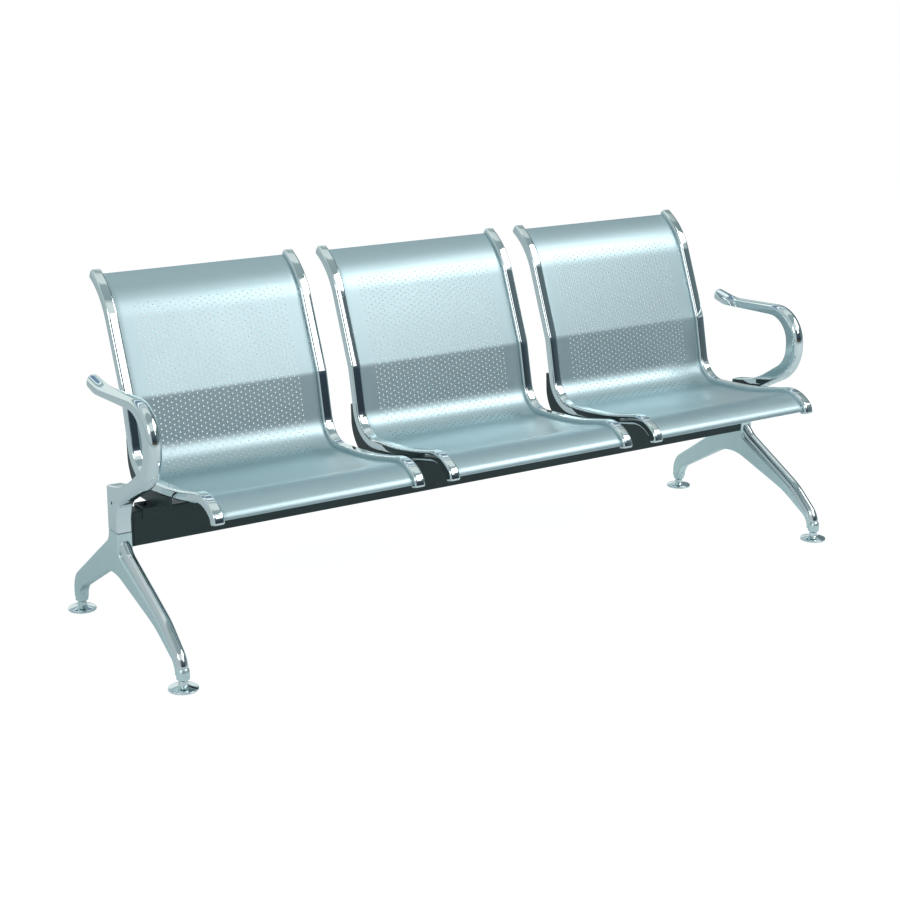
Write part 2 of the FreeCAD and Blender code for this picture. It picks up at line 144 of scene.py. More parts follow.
class Graph:
    """A node tree that is filled by short expressions."""

    def __init__(self, tree: bpy.types.NodeTree) -> None:
        """Take over a tree and empty it."""
        self.tree = tree
        tree.nodes.clear()

    def node(self, kind: str, settings: dict | None = None, **sockets: object) -> bpy.types.Node:
        """Add one node.

        Args:
            kind: the node's type name.
            settings: attributes that are set first, such as an operation; stops is a list of
                (position, colour) for a ramp.
            sockets: values or signals by socket name, with spaces as underscores, or by
                number as in0, in1.

        Returns:
            The new node.
        """
        made = self.tree.nodes.new(kind)
        for name, value in (settings or {}).items():
            if name == "stops":
                self.fill_ramp(made.color_ramp, value)
            else:
                setattr(made, name, value)
        for name, value in sockets.items():
            numbered = name[:2] == "in" and name[2:].isdigit()
            socket = made.inputs[int(name[2:]) if numbered else name.replace("_", " ")]
            if isinstance(value, Signal):
                self.tree.links.new(value.socket, socket)
            else:
                socket.default_value = value
        return made

    def fill_ramp(self, ramp: bpy.types.ColorRamp, stops: Sequence[Stop]) -> None:
        """Give a colour ramp its stops, in order from 0 to 1."""
        while len(ramp.elements) < len(stops):
            ramp.elements.new(0.5)
        for element, (at, colour) in zip(ramp.elements, stops):
            element.position = at
            element.color = (*colour, 1.0)

    def signal(self, node: bpy.types.Node, output: str | int = 0) -> Signal:
        """One output of a node as a signal."""
        return Signal(self, node.outputs[output])

    def made(self, kind: str, settings: dict | None = None, **sockets: object) -> Signal:
        """The first output of a new node."""
        return self.signal(self.node(kind, settings, **sockets))

    def maths(self, operation: str, first: object, second: object, clamp: bool = False) -> Signal:
        """A Math node on two values."""
        settings = {"operation": operation, "use_clamp": clamp}
        return self.made("ShaderNodeMath", settings, in0=first, in1=second)

    def blend(self, factor: object, first: object, second: object) -> Signal:
        """A colour mix from first to second."""
        made = self.node("ShaderNodeMix", {"data_type": "RGBA"}, in0=factor, in6=first, in7=second)
        return self.signal(made, 2)

    def coordinates(self, scale: Sequence[float] = (1, 1, 1)) -> Signal:
        """Object coordinates, scaled."""
        place = self.signal(self.node("ShaderNodeTexCoord"), "Object")
        return self.made("ShaderNodeMapping", in0=place, in3=tuple(scale))

    def noise(self, scale: float, detail: float = 3.0, roughness: float = 0.5,
              place: Signal | None = None) -> Signal:
        """Soft noise between 0 and 1."""
        return self.made("ShaderNodeTexNoise", Vector=place or self.coordinates(), Scale=scale,
                         Detail=detail, Roughness=roughness)

    def bump(self, height: Signal, distance: float, strength: float = 1.0) -> Signal:
        """A bump normal from a height in units of distance."""
        return self.made("ShaderNodeBump", Height=height, Distance=distance, Strength=strength)

    def finish(self, **sockets: object) -> None:
        """Close the tree with a Principled surface."""
        shader = self.made("ShaderNodeBsdfPrincipled", **sockets)
        self.node("ShaderNodeOutputMaterial", Surface=shader)


@dataclass(frozen=True)
class Finish:
    """A surface finish for one material slot of the record; subclasses build its nodes."""

    name: str
    shared_slot: str = ""

    @property
    def slot(self) -> str:
        """The record's material slot, which most finishes are named after."""
        return self.shared_slot or self.name

    def material(self) -> bpy.types.Material:
        """The Blender material of this finish, made once."""
        label = f"{self.name}_finish"
        known = bpy.data.materials.get(label)
        if known:
            return known
        made = bpy.data.materials.new(label)
        made.use_nodes = True
        self.build(Graph(made.node_tree))
        return made

    def build(self, graph: Graph) -> None:
        """Fill the node tree."""
        raise NotImplementedError


@dataclass(frozen=True)
class SatinLacquer(Finish):
    """Silvery blue-grey powder coat under a thin gloss, with faint cloudiness and fine grain."""

    colour: Colour = (0.53, 0.665, 0.70, 1)
    cloud: Colour = (0.515, 0.65, 0.69, 1)
    metallic: float = 0.92
    roughness: float = 0.43
    cloud_scale: float = 9.0
    rub_scale: float = 5.0
    grain_scale: float = 900.0
    grain_height: float = 0.002 * MM

    def build(self, graph: Graph) -> None:
        """Fill the node tree."""
        cloud = graph.noise(self.cloud_scale, detail=4.0)
        grain = graph.noise(self.grain_scale, detail=2.0)
        rubbed = (graph.noise(self.rub_scale, detail=5.0, roughness=0.6) - 0.52).clamped()
        graph.finish(
            Base_Color=graph.blend(cloud, self.colour, self.cloud),
            Metallic=self.metallic,
            Roughness=self.roughness + (cloud - 0.5) * 0.04 + (grain - 0.5) * 0.03 - rubbed * 0.06,
            Coat_Weight=0.30, Coat_Roughness=0.16,
            Normal=graph.bump(grain, self.grain_height))


@dataclass(frozen=True)
class Chrome(Finish):
    """Bright plating with faint polishing waves, smudges and hairlines."""

    colour: Colour = (0.83, 0.89, 0.90, 1)
    roughness: float = 0.035
    wave_scale: float = 38.0
    wave_height: float = 0.04 * MM
    wave_strength: float = 0.30
    smudge_scale: float = 14.0
    hair_scale: float = 60.0

    def build(self, graph: Graph) -> None:
        """Fill the node tree."""
        waves = graph.noise(self.wave_scale, detail=1.0)
        smudge = (graph.noise(self.smudge_scale, detail=5.0, roughness=0.6) - 0.5).clamped()
        hairs = graph.noise(self.hair_scale, detail=4.0, place=graph.coordinates((0.2, 6, 6)))
        graph.finish(
            Base_Color=self.colour, Metallic=1.0,
            Roughness=self.roughness + smudge * 0.14 + (hairs > 0.64) * 0.03,
            Normal=graph.bump(waves, self.wave_height, self.wave_strength))


@dataclass(frozen=True)
class CastAluminium(Finish):
    """Satin cast metal with a fine grain and slight clouding."""

    colour: Colour = (0.80, 0.93, 0.93, 1)
    shade: Colour = (0.72, 0.84, 0.85, 1)
    roughness: float = 0.34
    cloud_scale: float = 16.0
    grain_scale: float = 700.0
    grain_height: float = 0.03 * MM

    def build(self, graph: Graph) -> None:
        """Fill the node tree."""
        cloud = graph.noise(self.cloud_scale, detail=4.0)
        grain = graph.noise(self.grain_scale, detail=3.0)
        graph.finish(
            Base_Color=graph.blend(cloud, self.colour, self.shade), Metallic=1.0,
            Roughness=self.roughness + (cloud - 0.5) * 0.12 + (grain - 0.5) * 0.10,
            Normal=graph.bump(grain, self.grain_height, 0.6))


@dataclass(frozen=True)
class BlackCoat(Finish):
    """Black powder coat with the fine texture of sprayed powder and a trace of dust."""

    colour: Colour = (0.020, 0.044, 0.046, 1)
    worn: Colour = (0.030, 0.058, 0.060, 1)
    roughness: float = 0.36
    dust_scale: float = 11.0
    powder_scale: float = 1300.0
    powder_height: float = 0.05 * MM

    def build(self, graph: Graph) -> None:
        """Fill the node tree."""
        powder = graph.noise(self.powder_scale, detail=2.0)
        dust = graph.noise(self.dust_scale, detail=5.0, roughness=0.6)
        graph.finish(
            Base_Color=graph.blend(dust, self.colour, self.worn),
            Roughness=self.roughness + (powder - 0.5) * 0.16 + (dust - 0.5) * 0.12,
            Normal=graph.bump(powder, self.powder_height, 0.5))


@dataclass(frozen=True)
class PlatedSteel(Finish):
    """Zinc plate or black oxide on small steel parts, with fine turning marks."""

    colour: Colour = (0.60, 0.62, 0.63, 1)
    shade: Colour = (0.50, 0.52, 0.55, 1)
    roughness: float = 0.30
    stain_scale: float = 120.0
    mark_scale: float = 400.0
    mark_height: float = 0.02 * MM

    def build(self, graph: Graph) -> None:
        """Fill the node tree."""
        stain = graph.noise(self.stain_scale, detail=4.0)
        marks = graph.noise(self.mark_scale, detail=2.0, place=graph.coordinates((1, 1, 6)))
        graph.finish(
            Base_Color=graph.blend(stain, self.colour, self.shade), Metallic=1.0,
            Roughness=self.roughness + (stain - 0.5) * 0.2,
            Normal=graph.bump(marks, self.mark_height, 0.5))


@dataclass(frozen=True)
class MattPlastic(Finish):
    """Black moulded plastic with a fine sparked texture."""

    colour: Colour = (0.022, 0.022, 0.024, 1)
    dusty: Colour = (0.045, 0.045, 0.045, 1)
    roughness: float = 0.62
    spark_scale: float = 1100.0
    spark_height: float = 0.08 * MM
    dust_scale: float = 30.0

    def build(self, graph: Graph) -> None:
        """Fill the node tree."""
        spark = graph.noise(self.spark_scale, detail=2.0)
        dust = graph.noise(self.dust_scale, detail=4.0)
        graph.finish(
            Base_Color=graph.blend(dust, self.colour, self.dusty),
            Roughness=self.roughness + (dust - 0.5) * 0.15,
            Normal=graph.bump(spark, self.spark_height, 0.6))


class Finishes:
    """The finishes of this seating."""

    SHEET = SatinLacquer("sheet_lacquer")
    RAIL = Chrome("rail_chrome")
    ARM = Chrome("armrest_chrome")
    LEG = CastAluminium("leg_aluminium")
    RIB = Chrome("leg_polished_rib", "leg_aluminium", (0.80, 0.83, 0.84, 1), 0.07)
    BLACK = BlackCoat("beam_black")
    FOOT = Chrome("foot_chrome", roughness=0.06)
    PAD = MattPlastic("pad_plastic")
    ZINC = PlatedSteel("zinc_steel")
    DARK_STEEL = PlatedSteel("black_screw", colour=(0.045, 0.047, 0.05, 1),
                             shade=(0.07, 0.07, 0.075, 1), roughness=0.36)
    ALL = (SHEET, RAIL, ARM, LEG, BLACK, FOOT, PAD, ZINC, DARK_STEEL)

    @classmethod
    def by_slot(cls) -> dict[str, Finish]:
        """Finish by slot name."""
        return {finish.slot: finish for finish in cls.ALL}


# Lines across the beam


Corner = tuple[float, float, float]


@dataclass(frozen=True)
class Stretch:
    """A straight or an arc of a bent line: where it starts, its heading, length and curvature."""

    start: Vector
    heading: float
    length: float
    curvature: float = 0.0

    def at(self, run: float) -> tuple[Vector, float]:
        """Point and heading at a distance from the start."""
        if not self.curvature:
            ahead = Vector((math.cos(self.heading), math.sin(self.heading)))
            return self.start + ahead * run, self.heading
        heading = self.heading + self.curvature * run
        step = Vector((math.sin(heading) - math.sin(self.heading),
                       math.cos(self.heading) - math.cos(heading)))
        return self.start + step / self.curvature, heading


class BentLine:
    """An open line of straights and tangent arcs, from (y, z, radius) corners in millimetres."""

    def __init__(self, corners: Sequence[Corner]) -> None:
        """Lay out the straights and arcs."""
        points = [Vector(corner[:2]) * MM for corner in corners]
        self.stretches: list[Stretch] = []
        self.corner_runs: list[float] = [0.0]
        self.length = 0.0
        here = points[0]
        for index in range(1, len(points)):
            ahead = (points[index] - points[index - 1]).normalized()
            heading = math.atan2(ahead.y, ahead.x)
            turn, cut = 0.0, 0.0
            if index < len(points) - 1:
                after = (points[index + 1] - points[index]).normalized()
                turn = math.atan2(ahead.x * after.y - ahead.y * after.x, ahead.dot(after))
                radius = corners[index][2] * MM
                cut = radius * math.tan(abs(turn) / 2)
            stop = points[index] - ahead * cut
            self._add(Stretch(here, heading, (stop - here).length))
            here = stop
            if cut:
                arc = Stretch(here, heading, radius * abs(turn), math.copysign(1 / radius, turn))
                self._add(arc)
                here = arc.at(arc.length)[0]
                self.corner_runs.append(self.length - arc.length / 2)
            else:
                self.corner_runs.append(self.length)

    def _add(self, stretch: Stretch) -> None:
        """Append a stretch that has a length."""
        if stretch.length > 1e-7:
            self.stretches.append(stretch)
            self.length += stretch.length

    def at(self, run: float) -> tuple[Vector, float]:
        """Point and heading at a distance along the line, which runs on straight past its ends."""
        for stretch in self.stretches:
            if run <= stretch.length:
                return stretch.at(run)
            run -= stretch.length
        last = self.stretches[-1]
        return last.at(last.length + run)

    def place(self, run: float, depth: float, x: float) -> Vector:
        """A point in the row's frame at a depth below the line's left side."""
        point, heading = self.at(run)
        below = Vector((math.sin(heading), -math.cos(heading)))
        return across_beam(point + below * depth, x)

    def runs(self, arc_step: float, straight_step: float) -> list[float]:
        """Distances along the line, close together on arcs.

        Args:
            arc_step: the largest turn between two of them, in radians.
            straight_step: the largest distance between two of them.

        Returns:
            The distances, from 0 to the line's length.
        """
        found, base = [0.0], 0.0
        for stretch in self.stretches:
            turn = abs(stretch.curvature) * stretch.length
            count = max(1, math.ceil(turn / arc_step), math.ceil(stretch.length / straight_step))
            found += [base + stretch.length * step / count for step in range(1, count + 1)]
            base += stretch.length
        return found


def across_beam(point: Vector, x: float) -> Vector:
    """A (y, z) point from the beam's centre line, in the row's frame."""
    return Vector((x, point.x + BEAM_Y, point.y))


def ease(value: float, start: float, stop: float) -> float:
    """0 up to start, 1 from stop on, and a smooth step between."""
    share = min(1.0, max(0.0, (value - start) / (stop - start)))
    return share * share * (3 - 2 * share)


# Meshes


def finished(bm: bmesh.types.BMesh, name: str, finish: Finish, body: str,
             sharp: float = 35.0) -> Piece:
    """Turn a bmesh into a piece of the seating.

    Args:
        bm: the mesh, in the row's frame; it is freed.
        name: the piece's name.
        finish: its finish, which also names its material slot.
        body: the CAD body that it rides on.
        sharp: edges that turn by more than this, in degrees, stay sharp.

    Returns:
        The new object.
    """
    mesh = bpy.data.meshes.new(name)
    bmesh.ops.recalc_face_normals(bm, faces=bm.faces[:])
    bm.to_mesh(mesh)
    bm.free()
    mesh.shade_smooth()
    mesh.set_sharp_from_angle(angle=math.radians(sharp))
    piece = bpy.data.objects.new(name, mesh)
    bpy.context.scene.collection.objects.link(piece)
    mesh.materials.append(finish.material())
    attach(piece, body)
    return piece


def solidify(piece: Piece, thickness: float) -> None:
    """Give a skin its thickness on the side away from its normals, with crisp cut edges."""
    uses = Counter(key for face in piece.data.polygons for key in face.edge_keys)
    for edge in piece.data.edges:
        edge.use_edge_sharp = edge.use_edge_sharp or uses[edge.key] == 1
    wall = piece.modifiers.new("wall", "SOLIDIFY")
    wall.thickness = thickness
    wall.offset = -1
    wall.use_even_offset = True


def keep_flats(piece: Piece) -> None:
    """Let large faces look flat beside their rounded edges."""
    flats = piece.modifiers.new("flats", "WEIGHTED_NORMAL")
    flats.keep_sharp = True


def fresh_rim(made: Sequence[bmesh.types.BMElem]) -> list[bmesh.types.BMEdge]:
    """The leading edges of an extrusion."""
    verts = {item for item in made if isinstance(item, bmesh.types.BMVert)}
    return [item for item in made if isinstance(item, bmesh.types.BMEdge)
            and all(vert in verts for vert in item.verts)]


def sweep(rings: Sequence[Sequence[Vector]]) -> bmesh.types.BMesh:
    """Draw a closed skin over a row of rings that have the same number of points.

    Args:
        rings: points round each ring, in the row's frame, all in the same order.

    Returns:
        The skin, with a face over its first and its last ring.
    """
    bm = bmesh.new()
    place = bm.verts.layers.int.new("place")
    bmesh.ops.create_circle(bm, cap_ends=True, segments=len(rings[0]), radius=1.0)
    for index, vert in enumerate(bm.verts):
        vert[place] = index
        vert.co = rings[0][index]
    rim = bm.edges[:]
    for ring in rings[1:]:
        made = bmesh.ops.extrude_edge_only(bm, edges=rim)["geom"]
        for item in made:
            if isinstance(item, bmesh.types.BMVert):
                item.co = ring[item[place]]
        rim = fresh_rim(made)
    bmesh.ops.contextual_create(bm, geom=rim)
    return bm


def turned(corners: Sequence[Corner], place: Vector, steps: int = 64,
           bm: bmesh.types.BMesh | None = None) -> bmesh.types.BMesh:
    """Spin an outline round an upright axis.

    Args:
        corners: (radius, height, rounding) corners of the outline, in millimetres; it starts and
            ends on the axis, or its last corner is its first.
        place: where the axis stands on the floor.
        steps: faces round the axis.
        bm: a mesh to add to, or None for a new one.

    Returns:
        The mesh.
    """
    bm = bmesh.new() if bm is None else bm
    line = BentLine(corners)
    verts = []
    for run in line.runs(math.radians(15), 8 * MM):
        at, _ = line.at(run)
        verts.append(bm.verts.new((max(at.x, 0.0), 0, at.y)))
    edges = [bm.edges.new(pair) for pair in zip(verts, verts[1:])]
    before = {vert for vert in bm.verts} - set(verts)
    bmesh.ops.spin(bm, geom=verts + edges, cent=(0, 0, 0), axis=Z_AXIS, angle=math.tau,
                   steps=steps, use_merge=True)
    made = [vert for vert in bm.verts if vert not in before]
    bmesh.ops.remove_doubles(bm, verts=made, dist=1e-6)
    bmesh.ops.translate(bm, vec=place, verts=[vert for vert in bm.verts if vert not in before])
    return bm


def moved(bm: bmesh.types.BMesh, place: Vector) -> bmesh.types.BMesh:
    """The whole mesh moved to a place."""
    bmesh.ops.translate(bm, vec=place, verts=bm.verts[:])
    return bm


SEAT_LINE: tuple[Corner, ...] = (
    (-328.5, 361, 0), (-324.5, 375.5, 28), (-282, 406.5, 86), (-130, 373.5, 900), (62, 360, 75),
    (100, 523, 60), (194.6, 746.8, 180), (256.2, 782.3, 0))
PAN, CREASE = 3, 5


@dataclass
class SeatSheet:
    """The one-piece seat and back, with the field of holes across its back."""

    seat: str
    centre: float
    half_width: float = 230 * MM
    recess: float = 2.5 * MM
    thickness: float = 2 * MM
    fold_depth: float = 11 * MM
    fold_radius: float = 1.5 * MM
    hole_radius: float = 1.8 * MM
    hole_pitch: float = 12.5 * MM
    columns: int = 35
    rows_below: int = 32
    rows_above: int = 35
    hem_radius: float = 4.8
    hem_length: float = 14
    crease_radius: float = 8

    def line(self) -> BentLine:
        """The sheet's own line: folded at the crease, with a hem at nose and head."""
        corners = list(SEAT_LINE)
        corners[CREASE] = (*corners[CREASE][:2], self.crease_radius)
        nose, second = Vector(corners[0][:2]), Vector(corners[1][:2])
        head, before = Vector(corners[-1][:2]), Vector(corners[-2][:2])
        start, stop = (nose - second).normalized(), (head - before).normalized()
        tucked = nose + Vector((-start.y, start.x)) * self.hem_length
        turned_in = head + Vector((stop.y, -stop.x)) * self.hem_length
        corners[0] = (*corners[0][:2], self.hem_radius)
        corners[-1] = (*corners[-1][:2], self.hem_radius)
        return BentLine([(*tucked, 0), *corners, (*turned_in, 0)])

    def stations(self, line: BentLine) -> tuple[list[float], int]:
        """Distances of the sheet's rows of vertices.

        Args:
            line: the sheet's line.

        Returns:
            The distances and the index of the row that runs along the crease.
        """
        crease = line.corner_runs[CREASE + 1]
        half = self.hole_pitch / 2
        low, high = crease - self.rows_below * half, crease + self.rows_above * half
        field_rows = [low + half * step for step in range(self.rows_below + self.rows_above + 1)]
        plain = line.runs(math.radians(5), 30 * MM)
        under = [run for run in plain if run < low - half / 2]
        over = [run for run in plain if run > high + half / 2]
        return under + field_rows + over, len(under) + self.rows_below

    def build(self) -> list[Piece]:
        """Cut the blank, punch the holes, bend it and give it its thickness."""
        line = self.line()
        rows, crease = self.stations(line)
        step = self.hole_pitch * math.sqrt(3) / 4
        field_half = self.columns * step
        inner = [step * place - field_half for place in range(2 * self.columns + 1)]
        edge = self.half_width - self.fold_radius
        margin = [field_half + (edge - field_half) * share / 3 for share in range(1, 4)]
        across = [-place for place in reversed(margin)] + inner + margin
        first_column, first_row = len(margin), crease - self.rows_below
        bm = bmesh.new()
        bmesh.ops.create_grid(bm, x_segments=len(across) - 1, y_segments=len(rows) - 1, size=0.5)
        centres = []
        for vert in bm.verts:
            column = round((vert.co.x + 0.5) * (len(across) - 1))
            row = round((vert.co.y + 0.5) * (len(rows) - 1))
            vert.co = (across[column], rows[row], 0)
            hole, up = column - first_column, row - first_row
            in_field = 0 < hole < 2 * self.columns and 0 < up < self.rows_below + self.rows_above
            if in_field and hole % 2 and ((hole - 1) // 2 + up) % 2:
                centres.append(vert)
        punch(bm, centres, self.hole_radius, True)
        self.fold_sides(bm, line)
        piece = finished(bm, f"{self.seat}_perforated_sheet", Finishes.SHEET, "frame", 30)
        solidify(piece, self.thickness)
        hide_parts(f"{self.seat}_sheet")
        LOG.info("%s: %d holes", piece.name, len(centres))
        return [piece]

    def fold_sides(self, bm: bmesh.types.BMesh, line: BentLine) -> None:
        """Bend the blank along its line and fold its long sides down."""
        nose, head = line.corner_runs[1], line.corner_runs[-2]
        flat_x = bm.verts.layers.float.new("flat_x")
        flat_run = bm.verts.layers.float.new("flat_run")
        edge_x = max(vert.co.x for vert in bm.verts)
        sides = [edge for edge in bm.edges if edge.is_boundary
                 and all(abs(abs(vert.co.x) - edge_x) < 0.01 * MM and nose <= vert.co.y <= head
                         for vert in edge.verts)]
        for vert in bm.verts:
            vert[flat_x], vert[flat_run] = vert.co.x, vert.co.y
            vert.co = line.place(vert.co.y, self.recess, self.centre + vert.co.x)
        steps = [(math.sin(turn) * self.fold_radius, (1 - math.cos(turn)) * self.fold_radius)
                 for turn in (math.radians(30), math.radians(60), math.radians(90))]
        steps.append((self.fold_radius, self.fold_depth))
        for out, down in steps:
            made = bmesh.ops.extrude_edge_only(bm, edges=sides)["geom"]
            for item in made:
                if isinstance(item, bmesh.types.BMVert):
                    x = item[flat_x] + math.copysign(out, item[flat_x])
                    item.co = line.place(item[flat_run], self.recess + down, self.centre + x)
            sides = fresh_rim(made)


def punch(bm: bmesh.types.BMesh, centres: list[bmesh.types.BMVert], radius: float,
          open_through: bool) -> list[bmesh.types.BMFace]:
    """Make a round hole at each of some vertices where four faces meet, in a flat face.

    Args:
        bm: the mesh.
        centres: the vertices at the middles of the holes.
        radius: the holes' radius.
        open_through: True to take the round faces out.

    Returns:
        The round faces, or an empty list where they were taken out.
    """
    places = {vert.co.to_tuple(4) for vert in centres}
    bmesh.ops.bevel(bm, geom=centres, offset=radius, affect="VERTICES", segments=1,
                    profile=0.5, material=-1, clamp_overlap=False)
    diamonds = [face for face in bm.faces
                if len(face.verts) == 4 and face.calc_center_median().to_tuple(4) in places
                and face.calc_area() < 3 * radius ** 2]
    edges = {edge for face in diamonds for edge in face.edges}
    middles = [face.calc_center_median() for face in diamonds]
    bmesh.ops.subdivide_edges(bm, edges=list(edges), cuts=2)
    for face, middle in zip(diamonds, middles):
        for vert in face.verts:
            vert.co = middle + (vert.co - middle).normalized() * radius
    if open_through:
        bmesh.ops.delete(bm, geom=diamonds, context="FACES_ONLY")
        return []
    return diamonds


@dataclass(frozen=True)
class Section:
    """A rounded cross-section with flat sides and a rounding each for inner and outer corners."""

    half_width: float
    depth: float
    inner_round: float
    outer_round: float
    steps: int = 5

    def points(self) -> list[Vector]:
        """Points round the section, as (across, outwards)."""
        corners = ((1, self.depth, self.outer_round), (-1, self.depth, self.outer_round),
                   (-1, 0.0, self.inner_round), (1, 0.0, self.inner_round))
        found = []
        for quarter, (side, level, radius) in enumerate(corners):
            inward = -1 if level else 1
            centre = Vector((side * (self.half_width - radius), level + inward * radius))
            for step in range(self.steps + 1):
                turn = math.pi / 2 * (quarter + step / self.steps)
                found.append(centre + radius * Vector((math.cos(turn), math.sin(turn))))
        return found


@dataclass
class Rail:
    """A chromed bar along one side of a seat."""

    node: str
    centre: float
    width: float = 26 * MM
    depth: float = 24 * MM
    under: float = 16 * MM
    corner: float = 6 * MM
    end_round: float = 4.5 * MM
    overrun: float = 4 * MM

    def build(self) -> list[Piece]:
        """Sweep the rounded section along the seat's line and round its ends."""
        line = BentLine(SEAT_LINE)
        runs = line.runs(math.radians(2.5), 25 * MM)
        runs[0], runs[-1] = -self.overrun, line.length + self.overrun
        outline = Section(self.width / 2, self.depth, self.corner, self.corner).points()
        rings = [[line.place(run, self.under - at.y, self.centre + at.x) for at in outline]
                 for run in runs]
        bm = sweep(rings)
        caps = [face for face in bm.faces if len(face.verts) == len(outline)]
        rims = {edge for face in caps for edge in face.edges}
        bmesh.ops.bevel(bm, geom=list(rims), offset=self.end_round, affect="EDGES", segments=5,
                        profile=0.5, material=-1)
        piece = finished(bm, f"{self.node}_bar", Finishes.RAIL, "frame", 50)
        keep_flats(piece)
        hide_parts(self.node)
        return [piece]


ARM_OUTSIDE: tuple[Corner, ...] = (
    (118, 592, 0), (45, 578, 150), (-212, 596, 92), (-212, 425, 107), (-28, 331, 60),
    (-28, 265.4, 0))
ARM_INSIDE: tuple[Corner, ...] = (
    (118, 566, 0), (75, 555, 80), (-171, 565, 65), (-171, 452, 60), (-60, 379, 250), (22, 364, 0),
    (22, 265.4, 0))


@dataclass
class Armrest:
    """A chromed loop with flat sides and a round outer rim, which grows out of its post."""

    hand: Hand
    centre: float
    post_half: float = 18 * MM
    loop_half: float = 16.5 * MM
    tip: float = 11 * MM
    rim_round: float = 16 * MM
    post_round: float = 6 * MM
    inner_round: float = 4 * MM
    foot_chamfer: float = 1 * MM
    neck: float = 0.70
    steps: tuple[int, ...] = (10, 26, 26, 26, 14, 2)
    narrowing: tuple[float, float] = (355 * MM, 390 * MM)
    rounding: tuple[float, float] = (345 * MM, 425 * MM)
    screw_place: tuple[float, float] = (-4 * MM, 330 * MM)
    screw_hole: float = 3.8 * MM
    screw_depth: float = 7 * MM

    def build(self) -> list[Piece]:
        """Loft the loop, drill it for its screw and add the screw."""
        bm = sweep(self.rings())
        self.drill(bm)
        node = f"armrest_{self.hand.label}"
        loop = finished(bm, f"{node}_loop", Finishes.ARM, "frame", 42)
        keep_flats(loop)
        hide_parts(node)
        return [loop, self.lock_screw()]

    def anchors(self, outside: BentLine, inside: BentLine) -> list[tuple[float, float]]:
        """Distances on the two lines that face each other."""
        _, top, front, chin, throat, _ = outside.corner_runs
        outer = [self.tip, top, front, chin, chin + (throat - chin) * self.neck, throat,
                 outside.length]
        inner = [self.tip, *inside.corner_runs[1:]]
        return list(zip(outer, inner))

    def rings(self) -> list[list[Vector]]:
        """Rings from the tip round the loop and down the post."""
        outside, inside = BentLine(ARM_OUTSIDE), BentLine(ARM_INSIDE)
        anchors = self.anchors(outside, inside)
        rings = []
        for step in range(1, 7):
            turn = math.radians(90 - 15 * (step - 0.7))
            past = self.tip * (1 - math.sin(turn))
            rings.append(self.ring(outside.at(past)[0], inside.at(past)[0], math.cos(turn)))
        for (outer, inner), after, steps in zip(anchors, anchors[1:], self.steps):
            for step in range(steps):
                share = step / steps
                rings.append(self.ring(outside.at(outer + (after[0] - outer) * share)[0],
                                       inside.at(inner + (after[1] - inner) * share)[0]))
        above = self.foot_chamfer
        rings.append(self.ring(outside.at(outside.length - above)[0],
                               inside.at(inside.length - above)[0]))
        rings.append(self.ring(outside.at(outside.length)[0], inside.at(inside.length)[0],
                               1 - above / self.post_half))
        return rings

    def ring(self, outer: Vector, inner: Vector, scale: float = 1.0) -> list[Vector]:
        """One ring between a point of the outer line and one of the inner line.

        Args:
            outer: (y, z) on the outside of the loop.
            inner: (y, z) on its inside.
            scale: share of the full section, about its middle.

        Returns:
            The ring's points.
        """
        middle, across = (outer + inner) / 2, outer - inner
        depth, outwards = across.length, across.normalized()
        half = self.post_half + (self.loop_half - self.post_half) * ease(middle.y, *self.narrowing)
        rim = self.post_round + (self.rim_round - self.post_round) * ease(middle.y, *self.rounding)
        outline = Section(half, depth, self.inner_round, min(rim, depth - self.inner_round), 6)
        return [across_beam(middle + outwards * (at.y - depth / 2) * scale,
                            self.centre + at.x * scale) for at in outline.points()]

    def drill(self, bm: bmesh.types.BMesh) -> None:
        """Sink a round hole for the lock screw into the outer side of the post."""
        side = self.hand.value
        target = across_beam(Vector(self.screw_place), self.centre + side * self.post_half)
        flank = [face for face in bm.faces
                 if abs(face.calc_center_median().x - target.x) < 0.1 * MM
                 and min(vert.co.z for vert in face.verts) < target.z - 2 * self.screw_hole
                 and max(vert.co.z for vert in face.verts) > target.z + 2 * self.screw_hole]
        for normal in (Z_AXIS, Vector((0, 1, 0))):
            geom = flank + list({edge for face in flank for edge in face.edges})
            geom += list({vert for face in flank for vert in face.verts})
            cut = bmesh.ops.bisect_plane(bm, geom=geom, dist=1e-5, plane_co=target,
                                         plane_no=normal)
            flank = [item for item in cut["geom"] if isinstance(item, bmesh.types.BMFace)]
        middle = min((vert for face in flank for vert in face.verts),
                     key=lambda vert: (vert.co - target).length)
        for face in punch(bm, [middle], self.screw_hole, False):
            sunk = bmesh.ops.extrude_discrete_faces(bm, faces=[face])["faces"][0]
            bmesh.ops.translate(bm, vec=X_AXIS * -side * self.screw_depth, verts=list(sunk.verts))

    def lock_screw(self) -> Piece:
        """The grub screw with its hexagon socket."""
        side = self.hand.value
        node = f"armrest_lock_screw_{self.hand.label}"
        low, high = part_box(node)
        out = X_AXIS * side
        middle = (low + high) / 2
        face = Vector((high.x if side > 0 else low.x, middle.y, middle.z))
        bm = bmesh.new()
        Screw(face, out, (3.5 * MM, 8.4 * MM), (3.5 * MM, 0.0), 1.8 * MM).add(bm)
        piece = finished(bm, f"{node}_grub", Finishes.DARK_STEEL, "frame", 30)
        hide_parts(node)
        return piece


class HeadForm(Enum):
    """Shapes of a screw's head."""

    BUTTON = "domed, with a hexagon socket"
    HEXAGON = "hexagon on a washer"


